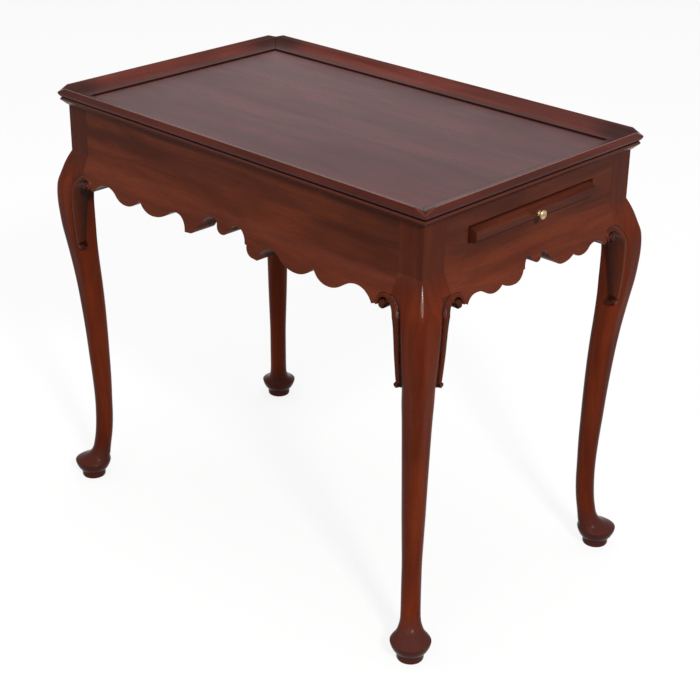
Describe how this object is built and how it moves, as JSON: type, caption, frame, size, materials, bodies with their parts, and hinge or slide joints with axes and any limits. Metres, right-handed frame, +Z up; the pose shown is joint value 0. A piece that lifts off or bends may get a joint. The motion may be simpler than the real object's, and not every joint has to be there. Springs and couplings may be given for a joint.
{
  "type": "tray top tea table",
  "caption": "Tray top tea table with cabriole legs, pad feet, scalloped aprons and a pull-out candle slide at each end.",
  "frame": {"origin": "on the floor, under the middle of the top", "axes": "+Z up, +X along the table to its right end, -Y the long front side"},
  "size_m": [0.7958, 0.4988, 0.6865],
  "materials": {
    "show_wood": "satin lacquer over a red-brown stain",
    "tray_wood": "satin lacquer over a red-brown stain",
    "leg_wood": "satin lacquer over a red-brown stain",
    "plain_wood": "bare, unfinished",
    "brass": "aged, lightly polished",
    "screw_steel": "plain"
  },
  "bodies": {
    "frame": {"tray_panel": "tray_wood", "tray_rim_front": "show_wood", "tray_rim_back": "show_wood", "tray_rim_left": "show_wood", "tray_rim_right": "show_wood", "apron_front": "show_wood", "apron_back": "show_wood", "apron_left": "show_wood", "apron_right": "show_wood", "leg_front_left": "leg_wood", "leg_front_right": "leg_wood", "leg_back_right": "leg_wood", "leg_back_left": "leg_wood", "knee_block_front_left_front": "leg_wood", "knee_block_front_left_left": "leg_wood", "knee_block_front_right_front": "leg_wood", "knee_block_front_right_right": "leg_wood", "knee_block_back_right_back": "leg_wood", "knee_block_back_right_right": "leg_wood", "knee_block_back_left_back": "leg_wood", "knee_block_back_left_left": "leg_wood", "slide_runner_front": "plain_wood", "slide_runner_back": "plain_wood", "slide_middle_rail": "plain_wood", "corner_block_front_left": "plain_wood", "corner_block_front_right": "plain_wood", "corner_block_back_right": "plain_wood", "corner_block_back_left": "plain_wood", "corner_block_screws": "screw_steel", "top_cleat_front": "plain_wood", "top_cleat_back": "plain_wood", "top_cleat_screws": "screw_steel"},
    "right_slide": {"slide_board_right": "show_wood", "slide_front_right": "show_wood", "slide_stop_pin_right": "plain_wood", "slide_rose_right": "brass", "slide_knob_right": "brass"},
    "left_slide": {"slide_board_left": "show_wood", "slide_front_left": "show_wood", "slide_stop_pin_left": "plain_wood", "slide_rose_left": "brass", "slide_knob_left": "brass"}
  },
  "joints": [
    {"name": "right_slide_travel", "type": "slide", "parent": "frame", "child": "right_slide", "axis": [1, 0, 0], "range_m": [0, 0.19]},
    {"name": "left_slide_travel", "type": "slide", "parent": "frame", "child": "left_slide", "axis": [-1, 0, 0], "range_m": [0, 0.19]}
  ]
}
